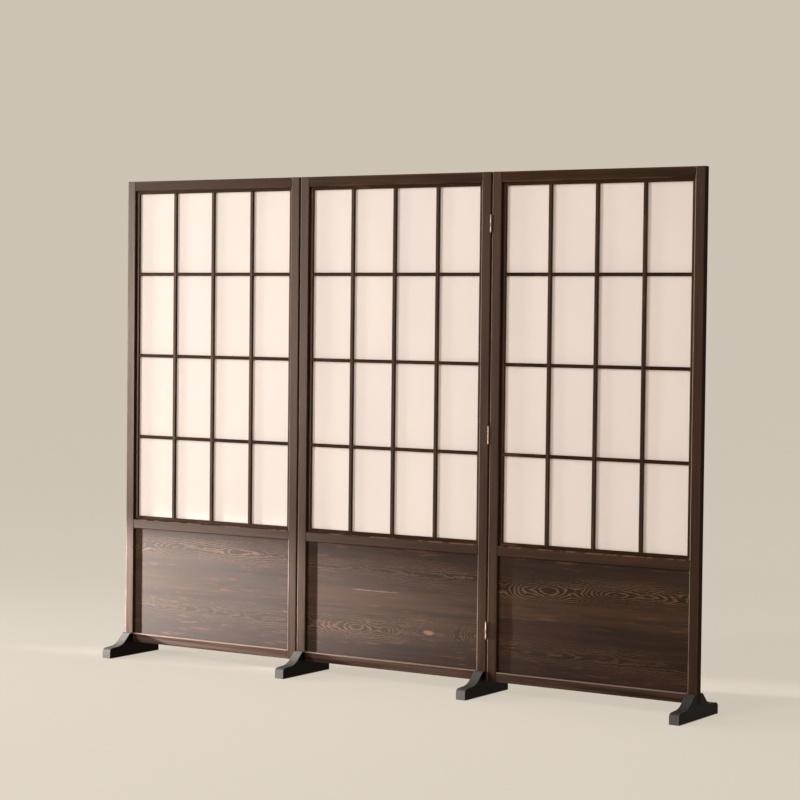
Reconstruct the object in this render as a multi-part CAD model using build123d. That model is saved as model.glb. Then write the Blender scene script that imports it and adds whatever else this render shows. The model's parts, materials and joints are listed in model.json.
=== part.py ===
from build123d import *
import os

# Lattice partition screen: three framed panels in a row, hinged edge to edge, on four sled feet.
# X runs along the row, the front faces -Y and Z is up. The origin is on the floor, in the middle.

# Panels
panel_width = 800.0
screen_height = 1800.0
floor_gap = 50.0

# Frame members
frame_depth = 25.0
stile_width = 38.0
top_rail_height = 36.0
middle_rail_height = 36.0
bottom_rail_height = 34.0
edge_chamfer = 3.0
end_chamfer = 1.5

# Tenons of the rails in the stiles
tenon_length = 24.0
tenon_thickness = 8.0
tenon_shoulder = 5.0
tenon_fit = 0.1
tenon_end_room = 1.0

# Lower board, which floats in grooves and stands on the bottom one
board_opening_height = 400.0
board_thickness = 9.0
board_recess = 9.0
board_fit = 0.1
board_side_room = 1.5
board_top_room = 2.0
groove_depth = 8.0

# Lattice: a mitred border, and bars halved into each other with their fronts flush
border_width = 12.0
bar_width = 12.0
lattice_depth = 10.0
lattice_recess = 9.0
lattice_arris = 0.8
upright_count = 3
crossbar_count = 3
stub_length = 4.0
stub_shoulder = 3.0
stub_cheek = 2.5
lap_fit = 0.05
stub_end_room = 0.4

# Paper glued on the back of the lattice
paper_thickness = 0.5
paper_margin = 1.0

# Sled feet, with a slot that takes the end of a stile
foot_length = 290.0
foot_crest_half = 28.0
foot_slope_run = 44.0
foot_instep_height = 42.0
foot_toe_height = 37.0
foot_crest_radius = 10.0
foot_instep_radius = 70.0
foot_toe_radius = 13.0
foot_arris = 1.5
foot_slot_fit = 0.15

# Butt hinges on the edges of the stiles
hinge_height = 60.0
hinge_from_end = 176.0
middle_hinge_height = 898.0
leaf_thickness = 1.5
leaf_play = 1.0
leaf_reach = 20.0
knuckle_count = 3
knuckle_radius = 3.2
knuckle_gap = 0.3
axis_standoff = 3.0
pin_radius = 1.6
pin_clearance = 0.05
screw_hole_radius = 1.7
countersink_radius = 3.2
screw_hole_sides = 10
screw_spacing = 20.0
screw_inner_row = 8.5
screw_outer_row = 14.5

# Places that follow from the sizes
panel_gap = 2 * leaf_thickness + leaf_play
panel_pitch = panel_width + panel_gap
frame_front = -frame_depth / 2
clear_half = panel_width / 2 - stile_width

bottom_rail_top = floor_gap + bottom_rail_height
middle_rail_bottom = bottom_rail_top + board_opening_height
middle_rail_top = middle_rail_bottom + middle_rail_height
top_rail_bottom = screen_height - top_rail_height

board_front = frame_front + board_recess

lattice_front = frame_front + lattice_recess
lattice_back = lattice_front + lattice_depth
lattice_middle = (lattice_front + lattice_back) / 2
opening_half = clear_half - border_width
opening_bottom = middle_rail_top + border_width
opening_top = top_rail_bottom - border_width
opening_middle = (opening_bottom + opening_top) / 2
opening_height = opening_top - opening_bottom

# Each rail's tenon stops short of the rail's edge: by a shoulder, or by the groove where there is one.
bottom_tenon = (floor_gap + tenon_shoulder, bottom_rail_top - groove_depth)
middle_tenon = (middle_rail_bottom + groove_depth, middle_rail_top - tenon_shoulder)
top_tenon = (top_rail_bottom + tenon_shoulder, screen_height - tenon_shoulder)


def spaced(length, count):
    """Places of the bars that divide a length into equal panes, counted from its middle."""
    pitch = (length - count * bar_width) / (count + 1) + bar_width
    return [(i - (count - 1) / 2) * pitch for i in range(count)]


upright_places = spaced(2 * opening_half, upright_count)
crossbar_places = spaced(opening_height, crossbar_count)


def block(x_range, y_range, z_range):
    """Box between two limits on each axis."""
    limits = (x_range, y_range, z_range)
    size = [abs(b - a) for a, b in limits]
    middle = [(a + b) / 2 for a, b in limits]
    return Pos(*middle) * Box(*size)


def board_groove(x_range):
    """Room for the board, from the floor of one rail's groove to the floor of the other's."""
    cheeks = (board_front - board_fit, board_front + board_thickness + board_fit)
    return block(x_range, cheeks, (bottom_rail_top - groove_depth, middle_rail_bottom + groove_depth))


def stile(side):
    """Full-height upright of a frame, on its left (side -1) or on its right (side 1)."""
    section = chamfer(Rectangle(stile_width, frame_depth).vertices(), edge_chamfer)
    post = extrude(section, screen_height - floor_gap)
    post = chamfer(post.faces().sort_by(Axis.Z)[-1].edges(), end_chamfer)
    post = Pos(side * (panel_width - stile_width) / 2, 0, floor_gap) * post

    half = tenon_thickness / 2 + tenon_fit
    mortise_reach = (side * clear_half, side * (clear_half + tenon_length + tenon_end_room))
    for low, high in (bottom_tenon, middle_tenon, top_tenon):
        post -= block(mortise_reach, (-half, half), (low - tenon_fit, high + tenon_fit))
    return post - board_groove((side * clear_half, side * (clear_half + groove_depth)))


def rail(low, high, tenon):
    """Member between the stiles, with a tenon on each end and room for the board in its edge."""
    section = chamfer(Rectangle(frame_depth, high - low).vertices(), edge_chamfer)
    bar = Pos(0, 0, (low + high) / 2) * extrude(Plane.YZ * section, clear_half, both=True)
    reach = clear_half + tenon_length
    bar += block((-reach, reach), (-tenon_thickness / 2, tenon_thickness / 2), tenon)
    return bar - board_groove((-reach, reach))


def board():
    """Plain board that fills the lower opening."""
    half = clear_half + groove_depth - board_side_room
    top = middle_rail_bottom + groove_depth - board_top_room
    cheeks = (board_front, board_front + board_thickness)
    return block((-half, half), cheeks, (bottom_rail_top - groove_depth, top))


def border_strip(length, bar_places):
    """Strip beside the panes, mitred at both ends, with sockets for the bars' stubs.

    It stands along Z, with its inner edge on the Z axis and its front where the lattice's front is.
    """
    inner = length / 2
    outer = inner + border_width
    outline = Polyline((0, -inner), (0, inner), (-border_width, outer), (-border_width, -outer), close=True)
    strip = extrude(make_face(Plane.XZ * outline), lattice_depth, dir=(0, 1, 0))
    front_edges = strip.faces().sort_by(Axis.Y)[0].edges()
    strip = chamfer(front_edges.sort_by(Axis.X)[-1], lattice_arris)

    half_width = bar_width / 2 - stub_shoulder + lap_fit
    cheeks = (stub_cheek - lap_fit, lattice_depth - stub_cheek + lap_fit)
    for place in bar_places:
        strip -= block((-stub_length - stub_end_room, 0), cheeks, (place - half_width, place + half_width))
    return Pos(0, lattice_front, 0) * strip


def lattice_bar(length, crossings, notched_side):
    """Bar along Z between the border strips, with stubs at both ends and a notch at each crossing.

    notched_side is 1 where the notches are cut from the back and -1 where they are cut from the front.
    """
    section = Rectangle(bar_width, lattice_depth)
    section = chamfer(section.vertices().group_by(Axis.Y)[0], lattice_arris)
    bar = extrude(section, length / 2, both=True)
    stub_end = length / 2 + stub_length
    stub_width = bar_width / 2 - stub_shoulder
    stub_depth = lattice_depth / 2 - stub_cheek
    bar += block((-stub_width, stub_width), (-stub_depth, stub_depth), (-stub_end, stub_end))

    notch = bar_width / 2 + lap_fit
    notch_depth = (0, notched_side * lattice_depth)
    for place in crossings:
        bar -= block((-bar_width, bar_width), notch_depth, (place - notch, place + notch))
    return Pos(0, lattice_middle, 0) * bar


def paper():
    """Sheet behind the whole lattice."""
    half = clear_half - paper_margin
    sheet = (lattice_back, lattice_back + paper_thickness)
    return block((-half, half), sheet, (middle_rail_top + paper_margin, top_rail_bottom - paper_margin))


def lattice():
    """Border strips and bars of one panel, by name."""
    side_strip = border_strip(opening_height, crossbar_places)
    end_strip = border_strip(2 * opening_half, upright_places)
    pieces = {
        "border_left": Pos(-opening_half, 0, opening_middle) * side_strip,
        "border_right": Pos(opening_half, 0, opening_middle) * Rot(0, 180, 0) * side_strip,
        "border_bottom": Pos(0, 0, opening_bottom) * Rot(0, -90, 0) * end_strip,
        "border_top": Pos(0, 0, opening_top) * Rot(0, 90, 0) * end_strip,
    }
    upright = lattice_bar(opening_height, crossbar_places, 1)
    for number, place in enumerate(upright_places, 1):
        pieces[f"upright_{number}"] = Pos(place, 0, opening_middle) * upright
    crossbar = Rot(0, 90, 0) * lattice_bar(2 * opening_half, upright_places, -1)
    for number, place in enumerate(crossbar_places, 1):
        pieces[f"crossbar_{number}"] = Pos(0, 0, opening_middle + place) * crossbar
    return pieces


def panel():
    """All pieces of one panel, standing over the origin, by name."""
    return {
        "left_stile": stile(-1),
        "right_stile": stile(1),
        "bottom_rail": rail(floor_gap, bottom_rail_top, bottom_tenon),
        "middle_rail": rail(middle_rail_bottom, middle_rail_top, middle_tenon),
        "top_rail": rail(top_rail_bottom, screen_height, top_tenon),
        "board": board(),
        "paper": paper(),
        **lattice(),
    }


def foot():
    """Sled foot under a stile: a level crest at the stile, a long hollow sweep, a rounded toe."""
    half = foot_length / 2
    crest = bottom_rail_top
    slope_end = foot_crest_half + foot_slope_run
    outline = FilletPolyline(
        (0, crest),
        (foot_crest_half, crest),
        (slope_end, foot_instep_height),
        (half, foot_toe_height),
        (half, 0),
        radius=[foot_crest_radius, foot_instep_radius, foot_toe_radius],
    )
    closing = Polyline((half, 0), (0, 0), (0, crest))
    front_half = make_face(Plane.YZ * (outline + closing))
    side = front_half + mirror(front_half, about=Plane.XZ)
    body = extrude(side, stile_width / 2, both=True)

    upper_edges = [
        edge
        for face in (body.faces().sort_by(Axis.X)[0], body.faces().sort_by(Axis.X)[-1])
        for edge in face.edges()
        if edge.center().Z > foot_arris
    ]
    body = chamfer(upper_edges, foot_arris)
    slot = frame_depth / 2 + foot_slot_fit
    return body - block((-stile_width, stile_width), (-slot, slot), (floor_gap, crest + foot_arris))


def hinge_leaf(knuckles):
    """Leaf of a hinge round the origin: the pin's axis is Z, the leaf reaches towards +Y on the -X side.

    knuckles lists which of the hinge's knuckles, counted from the bottom, belong to the leaf.
    """
    zone = (hinge_height - (knuckle_count - 1) * knuckle_gap) / knuckle_count
    clear_radius = knuckle_radius + knuckle_gap
    inside = -leaf_play / 2
    sheet = (inside - leaf_thickness, inside)
    leaf = block(sheet, (clear_radius, leaf_reach), (-hinge_height / 2, hinge_height / 2))
    for number in knuckles:
        low = -hinge_height / 2 + number * (zone + knuckle_gap)
        leaf += block(sheet, (0, clear_radius), (low, low + zone))
        leaf += Pos(0, 0, low) * extrude(Circle(knuckle_radius), zone)
    leaf -= Cylinder(pin_radius + pin_clearance, 2 * hinge_height)

    # The countersinks go right through the thin leaf, and are drawn with few sides.
    mouth = RegularPolygon(countersink_radius, screw_hole_sides)
    back = Pos(0, 0, leaf_thickness) * RegularPolygon(screw_hole_radius, screw_hole_sides)
    countersink = Rot(0, -90, 0) * loft([mouth, back])
    rows = (screw_inner_row, screw_outer_row, screw_inner_row)
    for number, row in enumerate(rows):
        leaf -= Pos(inside, row, (number - 1) * screw_spacing) * countersink
    return leaf


hinge_heights = (floor_gap + hinge_from_end, middle_hinge_height, screen_height - hinge_from_end)
hinge_x = (panel_width + panel_gap) / 2
hinge_y = frame_depth / 2 + axis_standoff


def hinges_on(shape, side):
    """The three copies of a hinge's piece on one joint: in front on the right, behind on the left."""
    turned = shape if side == 1 else Rot(0, 0, 180) * shape
    return [Pos(side * hinge_x, -side * hinge_y, height) * turned for height in hinge_heights]


panel_names = {
    "left": {"left_stile": "left_outer_stile", "right_stile": "left_hinge_stile"},
    "centre": {"left_stile": "centre_left_stile", "right_stile": "centre_right_stile"},
    "right": {"left_stile": "right_hinge_stile", "right_stile": "right_outer_stile"},
}

parts = {}
panel_pieces = panel()
for position, (panel_name, stile_names) in enumerate(panel_names.items()):
    for piece_name, piece in panel_pieces.items():
        node = stile_names.get(piece_name, f"{panel_name}_{piece_name}")
        parts[node] = Pos((position - 1) * panel_pitch, 0, 0) * piece

foot_shape = foot()
stile_middle = (panel_width - stile_width) / 2
parts["left_foot"] = Pos(-panel_pitch - stile_middle, 0, 0) * foot_shape
parts["centre_left_foot"] = Pos(-stile_middle, 0, 0) * foot_shape
parts["centre_right_foot"] = Pos(stile_middle, 0, 0) * foot_shape
parts["right_foot"] = Pos(panel_pitch + stile_middle, 0, 0) * foot_shape

fixed_leaf = hinge_leaf(range(0, knuckle_count, 2))
swinging_leaf = mirror(hinge_leaf(range(1, knuckle_count, 2)), about=Plane.YZ)
pin_shape = Cylinder(pin_radius, hinge_height)
parts["centre_left_hinge_leaves"] = Compound(hinges_on(fixed_leaf, -1))
parts["centre_right_hinge_leaves"] = Compound(hinges_on(fixed_leaf, 1))
parts["left_hinge_leaves"] = Compound(hinges_on(swinging_leaf, -1))
parts["right_hinge_leaves"] = Compound(hinges_on(swinging_leaf, 1))
parts["hinge_pins"] = Compound(hinges_on(pin_shape, -1) + hinges_on(pin_shape, 1))

os.makedirs("parts", exist_ok=True)
for node, shape in parts.items():
    export_step(shape, f"parts/{node}.step")
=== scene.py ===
import json
import math
import random

import bpy
from mathutils import Matrix, Vector


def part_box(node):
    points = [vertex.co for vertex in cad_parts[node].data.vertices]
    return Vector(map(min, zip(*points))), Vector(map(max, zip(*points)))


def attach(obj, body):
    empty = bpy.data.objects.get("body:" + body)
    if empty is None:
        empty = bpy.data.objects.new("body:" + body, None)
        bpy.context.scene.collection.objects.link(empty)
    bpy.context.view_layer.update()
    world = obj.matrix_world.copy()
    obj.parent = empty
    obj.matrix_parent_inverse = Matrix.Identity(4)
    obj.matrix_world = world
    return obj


# A lattice partition screen: dark stained frames, plain boards below, paper behind a lattice above.
# All sizes are in metres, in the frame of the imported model: X runs along the row,
# the front faces -Y and Z is up.

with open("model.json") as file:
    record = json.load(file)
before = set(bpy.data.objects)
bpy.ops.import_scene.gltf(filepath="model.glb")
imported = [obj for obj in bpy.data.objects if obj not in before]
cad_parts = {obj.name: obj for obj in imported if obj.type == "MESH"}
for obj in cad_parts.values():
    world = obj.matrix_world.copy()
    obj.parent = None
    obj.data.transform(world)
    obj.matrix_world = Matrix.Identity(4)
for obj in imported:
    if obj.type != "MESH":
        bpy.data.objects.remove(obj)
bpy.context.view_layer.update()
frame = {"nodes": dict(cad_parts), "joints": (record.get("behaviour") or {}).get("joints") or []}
nodes = frame["nodes"]
scene = bpy.context.scene
print("The packed screen is loaded:", len(nodes), "pieces")


class Wire:  # a socket of a node tree, so that sums of wires and numbers can be written as sums
    def __init__(self, graph, socket):
        self.graph = graph
        self.socket = socket

    def maths(self, operation, *terms):
        return self.graph.add("ShaderNodeMath", {"operation": operation}, dict(enumerate(terms)))

    def __add__(self, other):
        return self.maths("ADD", self, other)

    def __sub__(self, other):
        return self.maths("SUBTRACT", self, other)

    def __rsub__(self, other):
        return self.maths("SUBTRACT", other, self)

    def __mul__(self, other):
        return self.maths("MULTIPLY", self, other)

    def __truediv__(self, other):
        return self.maths("DIVIDE", self, other)

    __radd__ = __add__
    __rmul__ = __mul__

    def root(self):
        return self.maths("SQRT", self)

    def size(self):
        return self.maths("ABSOLUTE", self)

    def fraction(self):
        return self.maths("FRACT", self)

    def above(self, limit):
        return self.maths("GREATER_THAN", self, limit)

    def rise(self, low, high):  # 0 below low, 1 above high, smooth between
        limits = {"Value": self, "From Min": low, "From Max": high}
        return self.graph.add("ShaderNodeMapRange", {"interpolation_type": "SMOOTHSTEP"}, limits)

    def tint(self, first, second):  # the first colour where this is 0, the second where it is 1
        sockets = {0: self, 6: first, 7: second}    # a Mix node's factor and its two colours
        return self.graph.add("ShaderNodeMix", {"data_type": "RGBA"}, sockets, output=2)


class Graph:  # a node tree that is filled from nothing
    def __init__(self, owner):
        owner.use_nodes = True
        self.tree = owner.node_tree
        self.tree.nodes.clear()

    def add(self, kind, settings=None, values=None, output=0):
        made = self.tree.nodes.new(kind)
        for key, value in (settings or {}).items():
            setattr(made, key, value)
        for key, value in (values or {}).items():
            if isinstance(value, Wire):
                self.tree.links.new(value.socket, made.inputs[key])
            else:
                made.inputs[key].default_value = value
        if isinstance(output, tuple):
            return [Wire(self, made.outputs[each]) for each in output]
        return Wire(self, made.outputs[output])

    def surface(self, shader):
        self.add("ShaderNodeOutputMaterial", {}, {"Surface": shader}, output=())


def tone(red, green, blue):  # a screen colour, 0 to 255, as the linear colour that a socket takes
    shares = [part / 255 for part in (red, green, blue)]
    linear = [((part + 0.055) / 1.055) ** 2.4 if part > 0.04 else part / 12.92 for part in shares]
    return (*linear, 1.0)


def middleOf(node):
    low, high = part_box(node)
    return (low + high) / 2


def dress(node, material):
    for slot in nodes[node].material_slots:
        slot.material = material


# Wood. Each piece has a cut of its own: its grain starts at another place and its rings lie another way.

firstSeeds = {
    "stile": 100, "rail": 200, "lattice": 300, "foot": 400, "board": 500, "paper": 600, "screw": 700,
}


def grainAxes(graph, centre, lengthAxis):  # along the grain, across it in the face, and into the wood
    place = graph.add("ShaderNodeTexCoord", output="Object")
    back = tuple(-part for part in centre)
    centred = graph.add("ShaderNodeMapping", {}, {"Vector": place, "Location": back})
    x, y, z = graph.add("ShaderNodeSeparateXYZ", {}, {"Vector": centred}, output=(0, 1, 2))
    return {"X": (x, z, y), "Y": (y, z, x), "Z": (z, x, y)}[lengthAxis]


def fibres(graph, axes, noise, shift):  # a noise is its features per metre along and across, offset, detail
    lengthways, crossways, offset, detail = noise
    along, across, deep = axes
    start = shift + offset
    stretched = graph.add("ShaderNodeCombineXYZ", {}, {
        0: along * lengthways + start, 1: across * crossways + start, 2: deep * crossways})
    return graph.add("ShaderNodeTexNoise", {}, {"Vector": stretched, "Scale": 1.0, "Detail": detail})


woodNoise = {
    "wander": (1.3, 6, 0, 2.0),        # how the rings of a member drift
    "strength": (2.2, 18, 23, 2.0),    # where they show
    "fine": (9, 420, 3, 3),            # pores
    "streak": (2.6, 75, 7, 3),         # darker and lighter streaks
    "patch": (1.7, 7, 11, 2),          # greyer patches
    "bare": (11, 105, 17, 3),          # spots where the stain has worn off
}


def finishWood(graph, axes, rings, strength, marks, look, shift, mattAndShade=0):  # marks: where, in which colour
    band = rings.fraction()
    line = band.rise(*look["lineRise"]) * (1 - band.rise(*look["lineFall"])) * strength
    fine = fibres(graph, axes, woodNoise["fine"], shift)
    streak = fibres(graph, axes, woodNoise["streak"], shift)
    patch = fibres(graph, axes, woodNoise["patch"], shift)
    bare = fibres(graph, axes, woodNoise["bare"], shift).rise(*look["bareSpots"])
    bare = bare * patch.rise(*look["bareAreas"])

    ground = streak.rise(*look["streakRise"]).tint(look["dark"], look["mid"])
    ground = (patch.rise(*look["greyRise"]) * look["greyShare"]).tint(ground, look["grey"])
    ground = (fine.rise(*look["poreRise"]) * look["poreShare"]).tint(ground, look["dark"])
    coloured = (line * look["lineShare"]).tint(ground, look["line"])
    coloured = (bare * look["bareShare"]).tint(coloured, look["bare"])
    for share, colour in marks:
        coloured = share.tint(coloured, colour)

    rough = look["roughness"] + (streak - 0.5) * look["streakRough"] - line * look["lineSmooth"]
    rough = rough + mattAndShade * look["mattRough"]
    relief = line * look["lineRelief"] + fine * look["poreRelief"]
    normal = graph.add("ShaderNodeBump", {}, {
        "Strength": look["reliefStrength"], "Distance": look["relief"], "Height": relief})
    graph.surface(graph.add("ShaderNodeBsdfPrincipled", {}, {
        "Base Color": coloured, "Roughness": rough, "Normal": normal,
        "Specular IOR Level": look["gloss"], "Specular Tint": look["glossTint"]}))


# Pale edges: partly rubbed wear, partly a painted highlight; with a highlight side set, only the edges facing
# the light get it.
def wornAndLitArris(axes, width, thickness, look):  # 1 on the chamfers along a member, 0 on its faces
    reach = axes[1].size() + axes[2].size()
    edge = width / 2 + thickness / 2 - look["chamfer"]
    outset, inset = look["arrisReach"]
    arris = reach.rise(edge - look["chamfer"] * outset, edge - look["chamfer"] * inset)
    if look["highlightSide"]:
        arris = arris * (axes[1] * look["highlightSide"]).above(0)
    return arris


def paintedLightOn(graph, look):  # painted light: a pale tone on tops and ends, none on the shaded sides, and less on what faces up
    facing = graph.add("ShaderNodeNewGeometry", output="Normal")
    sideways, _, upwards = graph.add("ShaderNodeSeparateXYZ", {}, {"Vector": facing}, output=(0, 1, 2))
    offSides = 1 - sideways.size().rise(*look["paintedLightTurn"])
    return offSides * (1 - upwards.rise(*look["paintedLightTurn"]) * look["paintedLightOffUp"]) * look["paintedLightShare"]


def straightWood(name, node, lengthAxis, look, seed):
    graph = Graph(bpy.data.materials.new(name))
    low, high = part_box(node)
    axes = grainAxes(graph, (low + high) / 2, lengthAxis)
    _, across, deep = axes
    pick = random.Random(seed)
    shift = pick.uniform(1, 40)
    heartAcross = pick.choice((-1, 1)) * pick.uniform(*look["heartAcross"])
    heartDeep = pick.uniform(*look["heartDeep"])

    wander = (fibres(graph, axes, woodNoise["wander"], shift) - 0.5) * look["sway"]
    fromAcross = across + heartAcross + wander
    fromDeep = deep + heartDeep
    rings = (fromAcross * fromAcross + fromDeep * fromDeep).root() / look["ringWidth"]
    strength = fibres(graph, axes, woodNoise["strength"], shift).rise(*look["strengthRise"])

    sizes = high - low
    faces = {"X": (sizes.z, sizes.y), "Y": (sizes.z, sizes.x), "Z": (sizes.x, sizes.y)}
    width, thickness = faces[lengthAxis]
    # The pale colour laid on the chamfers is partly wear and partly a painted highlight where light catches
    # the edges.
    worn = fibres(graph, axes, look["arrisNoise"], shift).rise(*look["arrisBreaks"])
    arris = wornAndLitArris(axes, width, thickness, look)
    marks = [(arris * worn * look["arrisShare"], look["arris"])]
    # painted light: a pale tone on the faces that the light falls on
    if look["paintedLightShare"]:
        marks.append((paintedLightOn(graph, look), look["paintedLightTone"]))
    mattAndShade = 0
    if look["mattShadeSide"]:
        outset, inset = look["mattShadeReach"]
        mattAndShade = (across * look["mattShadeSide"]).rise(width / 2 - outset, width / 2 - inset)
        # the dark colour on the outward face is painted shade; the same band also makes the face rougher
        marks.append((mattAndShade * look["paintedShadeShare"], look["dark"]))
    finishWood(graph, axes, rings, strength, marks, look, shift, mattAndShade)
    return bpy.data.materials[name]


# A Rise is the two limits between which a mask goes from 0 to 1, a Share how much of a colour is laid on.
frameWood = {
    "dark": tone(36, 21, 13), "mid": tone(53, 32, 20), "streakRise": (0.3, 0.7),
    "grey": tone(50, 40, 33), "greyShare": 0.4, "greyRise": (0.5, 0.75),
    "poreRise": (0.35, 0.75), "poreShare": 0.35,
    "line": tone(84, 53, 33), "lineRise": (0.35, 0.85), "lineFall": (0.9, 1.0), "lineShare": 0.5,
    "strengthRise": (0.3, 0.65),
    "bare": tone(112, 66, 40), "bareShare": 0.4, "bareSpots": (0.66, 0.76), "bareAreas": (0.36, 0.56),
    "arris": tone(104, 76, 58), "arrisShare": 0.5, "chamfer": 0.003,
    "arrisReach": (0.6, 0.1),           # as shares of the chamfer, where the pale edge, part wear and part painted highlight, begins and is full
    "arrisNoise": (7, 30, 31, 2.0), "arrisBreaks": (0.3, 0.6),
    "highlightSide": 0,                    # the side whose edges get a painted highlight where light falls: 1 for upper or right edges alone, -1 for left ones, 0 for all
    "mattShadeSide": 0, "paintedShadeShare": 0.7, "mattRough": 0.55,
    "mattShadeReach": (0.0016, 0.0006),      # how near the outer face the matt band with its painted shade begins and is full
    "paintedLightTone": tone(96, 92, 88), "paintedLightShare": 0.0,
    "paintedLightTurn": (0.3, 0.8),             # how far a face turns to the side or upwards before it loses the painted light
    "paintedLightOffUp": 0.5,                   # the share of the painted light that is taken off what faces up
    "ringWidth": 0.0034, "sway": 0.006, "heartAcross": (0.03, 0.09), "heartDeep": (0.02, 0.06),
    "roughness": 0.35, "streakRough": 0.16, "lineSmooth": 0.05,
    "gloss": 0.2, "glossTint": (1.0, 0.76, 0.62, 1.0),
    "relief": 0.0002, "reliefStrength": 0.5, "lineRelief": 0.6, "poreRelief": 0.4,
}

railWood = {
    # The bottom and middle rails have pale edges only along their tops: a painted highlight where light from
    # above catches the upper chamfers.
    "bottom_rail": {**frameWood, "mid": tone(75, 56, 47), "grey": tone(98, 87, 81), "greyShare": 0.6,
                    "gloss": 0.1, "arris": tone(142, 118, 104), "arrisShare": 0.8,
                    "arrisNoise": (3, 30, 31, 2.0), "arrisBreaks": (0.15, 0.4), "highlightSide": 1},
    "middle_rail": {**frameWood, "gloss": 0.18, "arris": tone(136, 100, 80), "arrisShare": 0.5,
                    "arrisNoise": (26, 30, 31, 2.0), "arrisBreaks": (0.48, 0.6), "highlightSide": 1},
    "top_rail": {**frameWood, "gloss": 0.07},
}

stileWood = {
    # pale left edges on the stiles: a painted highlight where the light from the left catches the chamfers
    **frameWood, "arris": tone(140, 118, 104), "arrisShare": 0.7,
    "arrisNoise": (5, 30, 31, 2.0), "arrisBreaks": (0.2, 0.5), "highlightSide": -1,
    "mattShadeSides": {"left_outer_stile": -1, "right_outer_stile": 1},    # the outward faces at the ends of the row are matt and painted dark, a painted shade
}

stiles = ("left_outer_stile", "left_hinge_stile", "centre_left_stile", "centre_right_stile",
          "right_hinge_stile", "right_outer_stile")
for number, node in enumerate(stiles):
    look = {**stileWood, "mattShadeSide": stileWood["mattShadeSides"].get(node, 0)}
    dress(node, straightWood(f"stained {node}", node, "Z", look, firstSeeds["stile"] + number))

panelNames = ("left", "centre", "right")
for number, panel in enumerate(panelNames):
    for place, (rail, look) in enumerate(railWood.items()):
        node = f"{panel}_{rail}"
        seed = firstSeeds["rail"] + 10 * number + place
        dress(node, straightWood(f"stained {node}", node, "X", look, seed))
print("Frames stained")

latticeWood = {
    **frameWood,
    "dark": tone(24, 13, 8), "mid": tone(42, 24, 14), "line": tone(92, 60, 40), "grey": tone(34, 24, 18),
    "bare": tone(112, 72, 48), "bareShare": 0.4, "bareSpots": (0.58, 0.72),
    "arris": tone(72, 46, 31), "arrisShare": 0.35, "chamfer": 0.0008,
    "ringWidth": 0.0026, "sway": 0.004, "roughness": 0.4, "glossTint": (1.0, 0.66, 0.5, 1.0),
    "stripGloss": {"Z": 0.17, "X": 0.04},    # uprights shine more than crossbars
}

latticeStrips = {
    "Z": ("border_left", "border_right", "upright_1", "upright_2", "upright_3"),
    "X": ("border_bottom", "border_top", "crossbar_1", "crossbar_2", "crossbar_3"),
}
for number, panel in enumerate(panelNames):
    for lengthAxis, strips in latticeStrips.items():
        look = {**latticeWood, "gloss": latticeWood["stripGloss"][lengthAxis]}
        for place, strip in enumerate(strips):
            node = f"{panel}_{strip}"
            seed = firstSeeds["lattice"] + 20 * number + 10 * (lengthAxis == "X") + place
            dress(node, straightWood(f"stained {node}", node, lengthAxis, look, seed))
print("Lattices stained")

footWood = {
    **frameWood,
    "dark": tone(13, 10, 8), "mid": tone(21, 16, 13), "line": tone(36, 29, 24), "grey": tone(26, 23, 21),
    "arris": tone(104, 98, 92), "arrisShare": 0.6, "chamfer": 0.0015,
    # The pale tone on the toes and tops of the feet is painted light, strongest on the left foot and weakest
    # on the right as the light falls off.
    "bareSpots": (0.7, 0.8), "roughness": 0.4, "gloss": 0.04, "paintedLightTone": tone(140, 134, 129),
    "paintedLightShares": {"left_foot": 0.85, "centre_left_foot": 0.9, "centre_right_foot": 0.7, "right_foot": 0.4},
}

for number, (node, paintedLightShare) in enumerate(footWood["paintedLightShares"].items()):
    look = {**footWood, "paintedLightShare": paintedLightShare}
    dress(node, straightWood(f"stained {node}", node, "Y", look, firstSeeds["foot"] + number))
print("Feet stained")


# Boards: two wide planks side by side, each sawn flat, so that its rings come out as long pointed ovals.

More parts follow.
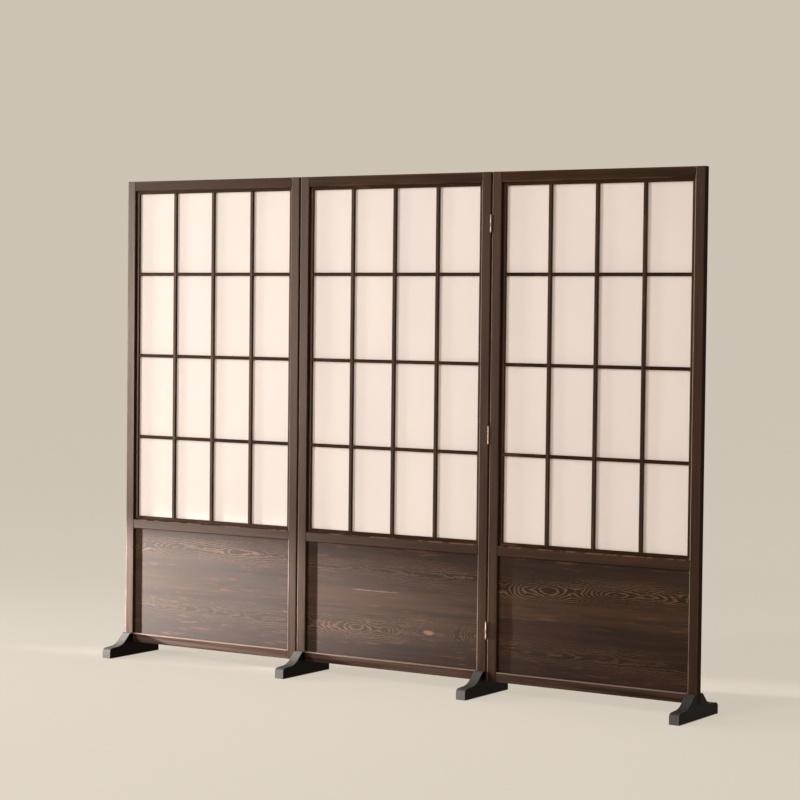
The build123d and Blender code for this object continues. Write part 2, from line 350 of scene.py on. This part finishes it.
boardWood = {
    **frameWood,
    "dark": tone(25, 14, 8), "mid": tone(42, 25, 15), "line": tone(112, 80, 54),
    # The grey patches are laid on most on the left board and least on the right: partly the wood's patchy
    # tone, partly a painted sheen that falls off with the light.
    "grey": tone(38, 32, 29), "greyAndSheenShares": {"left": 0.6, "centre": 0.42, "right": 0.3},
    "bare": tone(104, 62, 38), "bareShare": 0.5, "bareSpots": (0.56, 0.74),
    "lineRise": (0.42, 0.86), "lineShare": 0.62, "ringWidth": 0.0042,
    "roughness": 0.66, "gloss": 0.16, "glossTint": (1.0, 0.72, 0.57, 1.0), "relief": 0.0003,
    "joint": 0.284,       # height where the two planks meet
    "upperOffset": 5.3,   # where the upper plank's noise starts, so that the two differ
    "planks": {           # the heart's height and depth, how the depth leans and swings, how bold the rings
        "left": ((0.196, 0.026, 0.040, 0.012, 0.4), (0.424, 0.022, -0.020, 0.014, 0.75)),
        "centre": ((0.196, 0.024, -0.030, 0.020, 0.75), (0.400, 0.015, 0.018, 0.006, 0.65)),
        "right": ((0.164, 0.020, 0.030, 0.010, 0.45), (0.382, 0.030, -0.040, 0.024, 1.0)),
    },
    "swingPace": 4.2, "swingDetail": 1.5,
    "driftPace": 1.6, "driftDetail": 1.0, "drift": 0.03,    # how far the heart wanders up and down
    "wave": 0.011, "waveNoise": (9, 34, 41, 3.5),           # how far the rings wander from a smooth line
    "ragged": 0.0034, "raggedNoise": (75, 260, 43, 2),      # how far they jump from one fibre to the next
    "boldReach": (0.012, 0.07), "boldFloor": 0.5,           # bold near the heart, fading over this distance
    "faintNoise": (3, 22, 23, 2.0), "faintRise": (0.35, 0.7), "faintShare": 0.25,
    "warm": tone(90, 59, 38), "warmNoise": (1.8, 46, 61, 3), "warmRise": (0.3, 0.65),
    "warmCore": 0.3,      # the share of the band that is warm in full
    "warmth": {           # a warm streaky band along the middle: its height, half its width, how strong it is
        "left": (0.296, 0.05, 0.16),
        "centre": (0.290, 0.07, 0.28),
        "right": (0.315, 0.06, 0.3),
    },
}

centreMarks = {
    "eyePlace": 0.161,    # the knot that the rings of the lower plank run round, from the middle of the board
    "eyeStretch": 0.4,    # the rings are this much narrower across the plank than along it
    "eyeReach": (0.09, 0.19), "eyeLength": 0.023, "eyeHeight": 0.009, "eyeTone": tone(128, 90, 68),
    "eyeNoise": (30, 70, 47, 2), "eyeRagged": 1.1, "eyeRise": (0.2, 1.4), "eyeShare": 0.75,
    "scratchPlace": -0.066, "scratchHeight": 0.327, "scratchReach": 0.116, "scratchSag": 0.002,
    "scratchTone": tone(136, 118, 104), "scratchShares": (0.3, 0.45),
    "scratchEdge": (0.0003, 0.0014), "scratchEnds": (0.6, 1.0),
    "scratchNoise": (40, 60, 53, 2), "scratchBreaks": (0.3, 0.5),
}


def slowNoise(graph, along, pace, detail, shift):  # changes along the board alone
    return graph.add("ShaderNodeTexNoise", {"noise_dimensions": "1D"}, {
        "W": along * pace + shift, "Scale": 1.0, "Detail": detail})


def plankRings(graph, axes, height, plank, look, shift, eyed=False):  # eyed: the rings run round the knot
    along = axes[0]
    heart, depth, lean, swing, boldness = plank
    slow = slowNoise(graph, along, look["swingPace"], look["swingDetail"], shift)
    drift = slowNoise(graph, along, look["driftPace"], look["driftDetail"], shift * 2)
    fromHeart = height - heart + (drift - 0.5) * look["drift"]
    under = depth + along * lean + (slow - 0.5) * swing * 2
    if eyed:
        fromEye = (along - centreMarks["eyePlace"]).size()
        near = 1 - fromEye.rise(*centreMarks["eyeReach"])
        fromHeart = fromHeart + (height - heart - fromHeart) * near
        under = under + (fromEye * centreMarks["eyeStretch"] - under) * near
    wave = (fibres(graph, axes, look["waveNoise"], shift) - 0.5) * look["wave"]
    ragged = (fibres(graph, axes, look["raggedNoise"], shift) - 0.5) * look["ragged"]
    rings = ((fromHeart * fromHeart + under * under).root() + wave + ragged) / look["ringWidth"]
    return rings, (1 - fromHeart.size().rise(*look["boldReach"])) * boldness


def knotMark(graph, axes, height, heart, shift):
    marks = centreMarks
    ragged = (fibres(graph, axes, marks["eyeNoise"], shift) - 0.5) * marks["eyeRagged"]
    sideways = (axes[0] - marks["eyePlace"]) / marks["eyeLength"]
    upwards = (height - heart) / marks["eyeHeight"] + ragged
    return (1 - (sideways * sideways + upwards * upwards).rise(*marks["eyeRise"])) * marks["eyeShare"]


def scratchMark(graph, axes, height, shift):
    marks = centreMarks
    along = (axes[0] - marks["scratchPlace"]) / marks["scratchReach"]
    sagging = (along * along - 1) * marks["scratchSag"]
    fromLine = (height - marks["scratchHeight"] - sagging).size()
    line = (1 - fromLine.rise(*marks["scratchEdge"])) * (1 - along.size().rise(*marks["scratchEnds"]))
    broken = fibres(graph, axes, marks["scratchNoise"], shift).rise(*marks["scratchBreaks"])
    least, more = marks["scratchShares"]
    return line * (least + broken * more)


def boardMaterial(panel, seed):
    name = f"stained {panel} board"
    look = {**boardWood, "greyShare": boardWood["greyAndSheenShares"][panel]}
    graph = Graph(bpy.data.materials.new(name))
    centre = middleOf(f"{panel}_board")
    axes = grainAxes(graph, centre, "X")
    height = axes[1] + centre.z
    shift = random.Random(seed).uniform(1, 40)
    lower, upper = look["planks"][panel]
    marked = panel == "centre"
    lowerRings, lowerBold = plankRings(graph, axes, height, lower, look, shift, eyed=marked)
    upperRings, upperBold = plankRings(graph, axes, height, upper, look, shift + look["upperOffset"])
    isUpper = height.above(look["joint"])
    rings = lowerRings + (upperRings - lowerRings) * isUpper
    bold = lowerBold + (upperBold - lowerBold) * isUpper
    faint = fibres(graph, axes, look["faintNoise"], shift).rise(*look["faintRise"])
    strength = bold * (look["boldFloor"] + faint * (1 - look["boldFloor"])) + faint * look["faintShare"]
    bandHeight, bandReach, bandShare = look["warmth"][panel]
    inBand = 1 - (height - bandHeight).size().rise(bandReach * look["warmCore"], bandReach)
    streaks = fibres(graph, axes, look["warmNoise"], shift).rise(*look["warmRise"])
    marks = [(inBand * streaks * bandShare, look["warm"])]
    if marked:
        marks.append((knotMark(graph, axes, height, lower[0], shift), centreMarks["eyeTone"]))
        marks.append((scratchMark(graph, axes, height, shift), centreMarks["scratchTone"]))
    finishWood(graph, axes, rings, strength, marks, look, shift)
    return bpy.data.materials[name]


for number, panel in enumerate(panelNames):
    dress(f"{panel}_board", boardMaterial(panel, firstSeeds["board"] + number))
print("Boards stained")


# Paper: a thin pale sheet that lets some light through, a little slack between the bars.

paperSheet = {
    "warm": tone(250, 239, 231), "cool": tone(245, 235, 229), "through": tone(252, 244, 238),
    "throughShare": 0.4, "roughness": 0.8, "gloss": 0.25,
    "cloudNoise": (1.6, 2.4, 0, 1.5), "cloudRise": (0.35, 0.65),
    "slackNoise": (3.5, 6, 9, 1.0), "slack": 0.0012, "slackStrength": 1.0,
    "hairNoise": (160, 420, 13, 3), "hairRise": (0.5, 0.8), "hairShare": 0.12,
    "fibre": 0.00006, "fibreStrength": 0.6,
}


def paperMaterial(panel, seed):
    name = f"{panel} paper sheet"
    look = paperSheet
    graph = Graph(bpy.data.materials.new(name))
    axes = grainAxes(graph, middleOf(f"{panel}_paper"), "Z")
    shift = random.Random(seed).uniform(1, 40)
    cloud = fibres(graph, axes, look["cloudNoise"], shift)
    slack = fibres(graph, axes, look["slackNoise"], shift)
    hairs = fibres(graph, axes, look["hairNoise"], shift)
    colour = cloud.rise(*look["cloudRise"]).tint(look["warm"], look["cool"])
    colour = (hairs.rise(*look["hairRise"]) * look["hairShare"]).tint(colour, look["cool"])
    waves = graph.add("ShaderNodeBump", {}, {
        "Strength": look["slackStrength"], "Distance": look["slack"], "Height": slack})
    normal = graph.add("ShaderNodeBump", {}, {
        "Strength": look["fibreStrength"], "Distance": look["fibre"], "Height": hairs, "Normal": waves})
    face = graph.add("ShaderNodeBsdfPrincipled", {}, {
        "Base Color": colour, "Roughness": look["roughness"], "Specular IOR Level": look["gloss"],
        "Normal": normal})
    through = graph.add("ShaderNodeBsdfTranslucent", {}, {"Color": look["through"]})
    graph.surface(graph.add("ShaderNodeMixShader", {}, {0: look["throughShare"], 1: face, 2: through}))
    return bpy.data.materials[name]


for number, panel in enumerate(panelNames):
    dress(f"{panel}_paper", paperMaterial(panel, firstSeeds["paper"] + number))
print("Paper hung")


# Hinges and their screws.

hingeMetal = {
    "bright": tone(152, 124, 108), "dull": tone(104, 80, 68),
    "brushNoise": (60, 2600, 3.1, 2), "stainNoise": (90, 90, 8.4, 3), "stainRise": (0.42, 0.7),
    "roughness": 0.46, "brushRough": 0.2, "stainRough": 0.15, "stainRoughRise": (0.45, 0.7),
    "relief": 0.00004, "reliefStrength": 0.5,
}


def hingeMaterial(name, look):
    graph = Graph(bpy.data.materials.new(name))
    axes = grainAxes(graph, (0, 0, 0), "Z")
    brushed = fibres(graph, axes, look["brushNoise"], 0)
    stain = fibres(graph, axes, look["stainNoise"], 0)
    colour = stain.rise(*look["stainRise"]).tint(look["bright"], look["dull"])
    rough = look["roughness"] + (brushed - 0.5) * look["brushRough"]
    rough = rough + stain.rise(*look["stainRoughRise"]) * look["stainRough"]
    normal = graph.add("ShaderNodeBump", {}, {
        "Strength": look["reliefStrength"], "Distance": look["relief"], "Height": brushed})
    graph.surface(graph.add("ShaderNodeBsdfPrincipled", {}, {
        "Base Color": colour, "Metallic": 1.0, "Roughness": rough, "Normal": normal}))
    return bpy.data.materials[name]


leafMetal = hingeMaterial("brushed hinge metal", hingeMetal)
for node in ("left_hinge_leaves", "centre_left_hinge_leaves", "centre_right_hinge_leaves",
             "right_hinge_leaves", "hinge_pins"):
    dress(node, leafMetal)

hingeScrew = {
    **hingeMetal,
    "bright": tone(166, 142, 126), "roughness": 0.34,
    "sides": 30, "headRadius": 0.0030, "headHeight": 0.0014, "shankRadius": 0.0015, "shankLength": 0.0015,
    "rim": 0.0005, "crown": 0.00012,
    "crossLength": 0.0034, "crossWidth": 0.0007, "crossDepth": 0.0008, "crossTaper": 0.55,
    "heights": (0.226, 0.898, 1.624),                             # middles of the three hinges
    "holes": ((-0.020, 0.0085), (0.0, 0.0145), (0.020, 0.0085)),  # up from the middle, in from the pin
    "faceFromPin": 0.0005,                                        # from the pin to the face of each leaf
}


squarely = 0.9    # a normal with more than this share of an axis looks along it


def pickFaces(piece, wanted):  # in edit mode, selects the faces whose normal and middle pass the test
    bpy.ops.mesh.select_all(action="DESELECT")
    bpy.ops.object.mode_set(mode="OBJECT")
    for face in piece.data.polygons:
        face.select = wanted(face.normal, face.center)
    bpy.ops.object.mode_set(mode="EDIT")


def startPiece(name):
    piece = bpy.context.active_object
    piece.name = name
    bpy.ops.object.mode_set(mode="EDIT")
    bpy.ops.mesh.select_mode(type="FACE")
    return piece


def turnScrew():
    look = hingeScrew
    bpy.ops.object.select_all(action="DESELECT")
    bpy.ops.mesh.primitive_cylinder_add(
        vertices=look["sides"], radius=look["headRadius"], depth=look["headHeight"],
        location=(0, 0, -look["headHeight"] / 2))
    screw = startPiece("countersunkScrew")
    taper = look["shankRadius"] / look["headRadius"]
    pickFaces(screw, lambda normal, middle: normal.z < -squarely)
    bpy.ops.transform.resize(value=(taper, taper, 1))
    bpy.ops.mesh.extrude_region_move(TRANSFORM_OT_translate={"value": (0, 0, -look["shankLength"])})
    pickFaces(screw, lambda normal, middle: normal.z > squarely)
    bpy.ops.mesh.inset(thickness=look["rim"])
    bpy.ops.transform.translate(value=(0, 0, look["crown"]))
    bpy.ops.object.mode_set(mode="OBJECT")

    bpy.ops.object.select_all(action="DESELECT")
    width = look["crossWidth"]
    bpy.ops.mesh.primitive_cube_add(size=1, scale=(width, width, 2 * look["crossDepth"]))
    bpy.ops.object.transform_apply(location=False, rotation=False, scale=True)
    cross = startPiece("driverCross")
    pickFaces(cross, lambda normal, middle: abs(normal.z) < 1 - squarely)
    arm = (look["crossLength"] - width) / 2
    bpy.ops.mesh.extrude_faces_move(TRANSFORM_OT_shrink_fatten={"value": arm})
    pickFaces(cross, lambda normal, middle: normal.z < -squarely)
    bpy.ops.transform.resize(value=(look["crossTaper"], look["crossTaper"], 1))
    bpy.ops.object.mode_set(mode="OBJECT")

    bpy.ops.object.select_all(action="DESELECT")
    bpy.context.view_layer.objects.active = screw
    screw.select_set(True)
    cut = screw.modifiers.new("crossCut", "BOOLEAN")
    cut.operation = "DIFFERENCE"
    cut.solver = "EXACT"
    cut.object = cross
    bpy.ops.object.modifier_apply(modifier=cut.name)
    bpy.data.objects.remove(cross)
    return screw


# Facing is the way the heads look along X, inwards the way from the pin to the screws along Y.
def driveScrews(name, pattern, joint, facing, inwards, body, pick):
    look = hingeScrew
    pinX, pinY = joint["pos_m"][:2]
    faceX = pinX - facing * look["faceFromPin"]
    bpy.ops.object.select_all(action="DESELECT")
    for height in look["heights"]:
        for up, away in look["holes"]:
            screw = pattern.copy()
            screw.data = pattern.data.copy()
            scene.collection.objects.link(screw)
            driven = Matrix.Translation((faceX, pinY + inwards * away, height + up))
            driven = driven @ Matrix.Rotation(facing * math.pi / 2, 4, "Y")
            screw.matrix_world = driven @ Matrix.Rotation(pick.uniform(0, math.pi), 4, "Z")
            screw.select_set(True)
            bpy.context.view_layer.objects.active = screw
    bpy.ops.object.join()
    row = bpy.context.active_object
    row.name = name
    bpy.ops.object.transform_apply(location=True, rotation=True, scale=True)
    row.data.materials.append(screwMetal)
    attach(row, body)


screwMetal = hingeMaterial("turned screw metal", hingeScrew)
joints = {joint["name"]: joint for joint in frame["joints"]}
leftPin, rightPin = joints["left_fold"], joints["right_fold"]
screwPattern = turnScrew()
screwTurns = random.Random(firstSeeds["screw"])
driveScrews("hingeScrewsLeft", screwPattern, leftPin, 1, -1, "left", screwTurns)
driveScrews("hingeScrewsCentreLeft", screwPattern, leftPin, -1, -1, "centre", screwTurns)
driveScrews("hingeScrewsCentreRight", screwPattern, rightPin, 1, 1, "centre", screwTurns)
driveScrews("hingeScrewsRight", screwPattern, rightPin, -1, 1, "right", screwTurns)
bpy.data.objects.remove(screwPattern)
print("Hinges finished")


# Studio: a pale floor, soft lamps at the left and high in front, a low beam along the boards, an even sky.

studio = {    # spreads and cones in radians, power in watts
    "floorTone": tone(240, 229, 213), "floorGlow": 0.62, "floorSize": 240, "sky": 0.2,
    "sideLamp": {"place": (-7.0, -1.3, 1.5), "aim": (-0.3, 0.0, 1.0), "size": (0.7, 1.0), "power": 24,
                 "spread": 0.9},
    "frontPanel": {"place": (-5.85, -5.2, 1.15), "aim": (-0.8, 0.0, 0.95), "size": (1.0, 2.1), "power": 190,
                   "spread": 2.2},
    "highFill": {"place": (-0.8, -6.6, 4.4), "aim": (0.0, 0.0, 0.9), "size": (2.6, 1.8), "power": 148,
                 "spread": 3.0},
    "lowBeam": {"place": (-4.5, -0.76, 0.29), "aim": (-0.8, 0.083, 0.245), "cone": 0.172, "blend": 0.8,
                "radius": 0.05, "power": 7400},
}


def raySeen(graph):  # 1 for what the camera sees, also in gloss and through glass
    rays = graph.add("ShaderNodeLightPath", output=("Is Camera Ray", "Is Glossy Ray", "Is Transmission Ray"))
    return rays[0].maths("MAXIMUM", rays[0], rays[1].maths("MAXIMUM", rays[1], rays[2]))


def layFloor():
    bpy.ops.object.select_all(action="DESELECT")
    bpy.ops.mesh.primitive_plane_add(size=studio["floorSize"], location=(0, 0, 0))
    floor = bpy.context.active_object
    floor.name = "studioFloor"
    graph = Graph(bpy.data.materials.new("pale studio floor"))
    paint = graph.add("ShaderNodeBsdfDiffuse", {}, {"Color": studio["floorTone"]})
    glow = graph.add("ShaderNodeEmission", {}, {"Color": studio["floorTone"], "Strength": 1.0})
    share = raySeen(graph) * studio["floorGlow"]
    graph.surface(graph.add("ShaderNodeMixShader", {}, {0: share, 1: paint, 2: glow}))
    floor.data.materials.append(bpy.data.materials["pale studio floor"])


def lightSky():
    scene.world = bpy.data.worlds.new("studioSky")
    graph = Graph(scene.world)
    light = graph.add("ShaderNodeBackground", {}, {"Color": (1, 1, 1, 1), "Strength": studio["sky"]})
    # the backdrop is as bright as the floor far away, so that no horizon shows
    farFloor = studio["floorGlow"] + (1 - studio["floorGlow"]) * studio["sky"]
    backdrop = graph.add("ShaderNodeBackground", {}, {"Color": studio["floorTone"], "Strength": farFloor})
    mixed = graph.add("ShaderNodeMixShader", {}, {0: raySeen(graph), 1: light, 2: backdrop})
    graph.add("ShaderNodeOutputWorld", {}, {"Surface": mixed}, output=())


def hangLamp(name, kind):
    look = studio[name]
    lamp = bpy.data.lights.new(name, kind)
    lamp.energy = look["power"]
    if kind == "AREA":
        lamp.shape = "RECTANGLE"
        lamp.size, lamp.size_y = look["size"]
        lamp.spread = look["spread"]
    else:
        lamp.spot_size = look["cone"]
        lamp.spot_blend = look["blend"]
        lamp.shadow_soft_size = look["radius"]
    holder = bpy.data.objects.new(name, lamp)
    holder.location = look["place"]
    ray = Vector(look["aim"]) - Vector(look["place"])
    holder.rotation_euler = ray.to_track_quat("-Z", "Y").to_euler()
    scene.collection.objects.link(holder)


layFloor()
lightSky()
hangLamp("sideLamp", "AREA")
hangLamp("frontPanel", "AREA")
hangLamp("highFill", "AREA")
hangLamp("lowBeam", "SPOT")
print("Studio lit")

cameraSet = {    # angles in radians, lens and sensor in millimetres
    "place": (4.4258, -6.7869, 1.3164), "heading": 0.57486, "dip": 0.03813, "roll": 0.010855,
    "lens": 103.38, "sensor": 36.0,
}

lens = bpy.data.cameras.new("screenCamera")
lens.lens = cameraSet["lens"]
lens.sensor_width = cameraSet["sensor"]
camera = bpy.data.objects.new("screenCamera", lens)
turn = Matrix.Rotation(cameraSet["heading"], 4, "Z") @ Matrix.Rotation(math.pi / 2 - cameraSet["dip"], 4, "X")
turn = turn @ Matrix.Rotation(cameraSet["roll"], 4, "Z")
camera.matrix_world = Matrix.Translation(cameraSet["place"]) @ turn
scene.collection.objects.link(camera)
scene.camera = camera
scene.view_settings.view_transform = "Standard"
print("Camera set")
